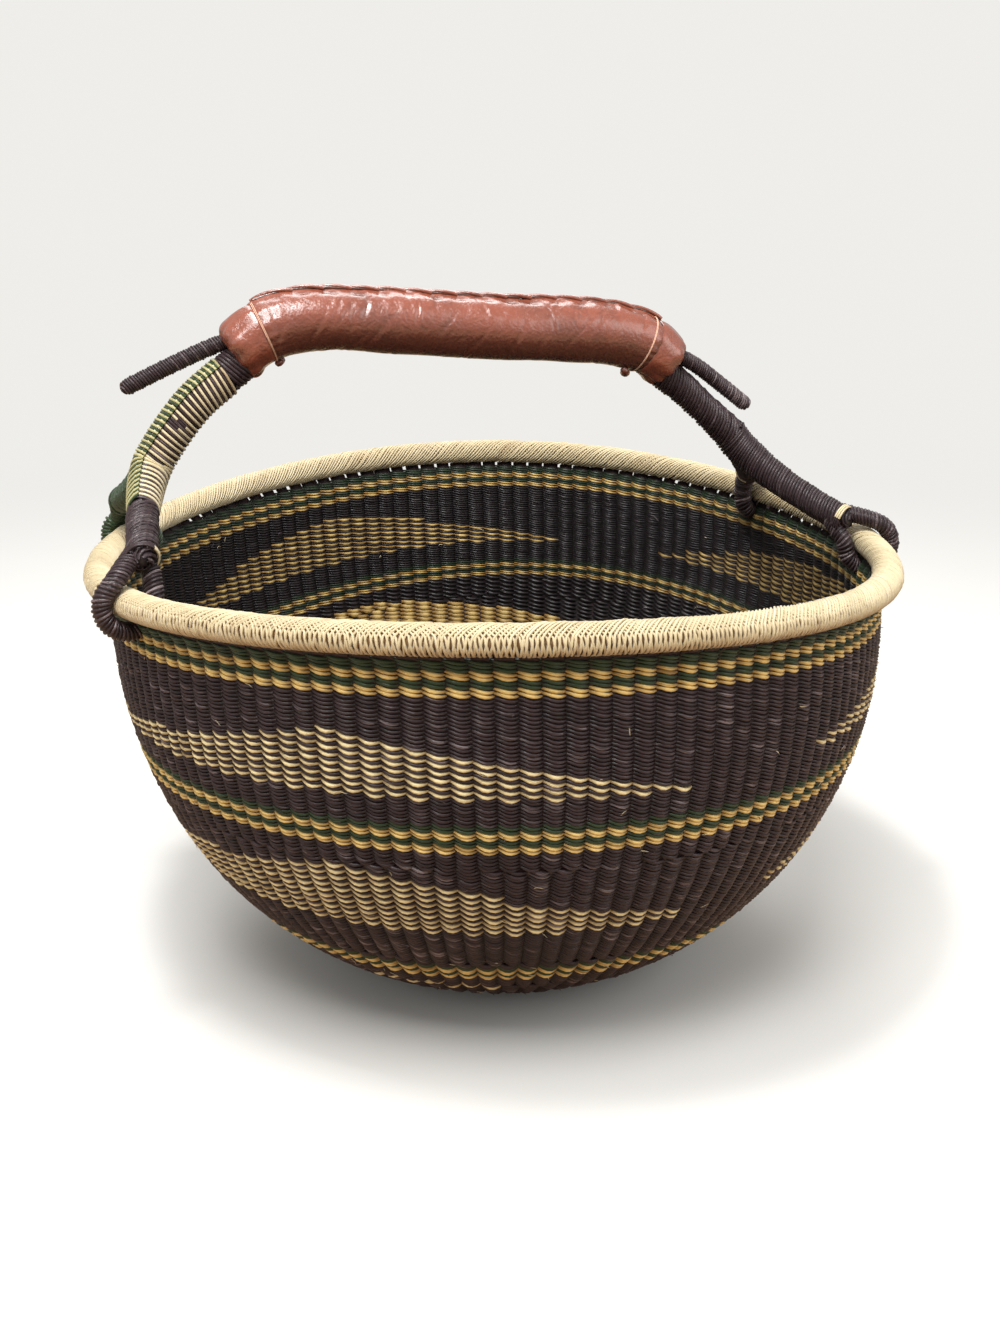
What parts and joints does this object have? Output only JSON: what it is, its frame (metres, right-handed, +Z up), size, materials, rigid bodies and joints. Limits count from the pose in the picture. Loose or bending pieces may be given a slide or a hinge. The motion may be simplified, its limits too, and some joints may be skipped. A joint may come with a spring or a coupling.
{
  "type": "handled woven basket",
  "caption": "Round open basket of twined straw with colour bands and stepped wedges, a whipped rim and a fixed bow handle with a leather grip over wound sticks.",
  "frame": {"origin": "on the floor, in the middle of the flat woven base", "axes": "+X along the handle towards its right arm, +Y to the back, +Z up"},
  "size_m": [0.4133, 0.409, 0.3484],
  "materials": {
    "dark_straw": "dyed twisted straw, purple-black, matt with a dry sheen",
    "green_straw": "dyed twisted straw, deep green",
    "yellow_straw": "dyed twisted straw, ochre yellow",
    "natural_straw": "undyed straw, pale, slightly silky",
    "stick": "bare bent stick",
    "leather": "red-brown, glossy and wrinkled",
    "thread": "fine light thread",
    "padding": "packed straw"
  },
  "bodies": {
    "root": {"woven_start": "dark_straw", "base_weave": "dark_straw", "lower_wall": "dark_straw", "lower_stripe": "yellow_straw", "middle_wall": "dark_straw", "middle_stripe": "yellow_straw", "upper_wall": "dark_straw", "upper_stripe": "green_straw", "rim_core": "natural_straw", "rim_wrap": "natural_straw", "left_front_stick": "stick", "left_rear_stick": "stick", "right_front_stick": "stick", "right_rear_stick": "stick", "left_arm_collar": "dark_straw", "left_arm_winding": "yellow_straw", "left_arm_core": "padding", "right_arm_winding": "dark_straw", "left_stub_winding": "dark_straw", "right_stub_winding": "dark_straw", "left_fork_wrap": "yellow_straw", "left_front_leg_wrap": "dark_straw", "left_front_loop_wrap": "dark_straw", "left_front_lashing": "natural_straw", "left_rear_leg_wrap": "green_straw", "left_rear_loop_wrap": "green_straw", "left_rear_lashing": "natural_straw", "right_fork_wrap": "dark_straw", "right_front_leg_wrap": "dark_straw", "right_front_loop_wrap": "dark_straw", "right_front_lashing": "natural_straw", "right_rear_leg_wrap": "dark_straw", "right_rear_loop_wrap": "dark_straw", "right_rear_lashing": "natural_straw", "grip_padding": "padding", "grip_leather": "leather", "left_end_cover": "leather", "right_end_cover": "leather", "left_end_thread": "thread", "right_end_thread": "thread", "grip_lacing": "leather"}
  },
  "joints": []
}
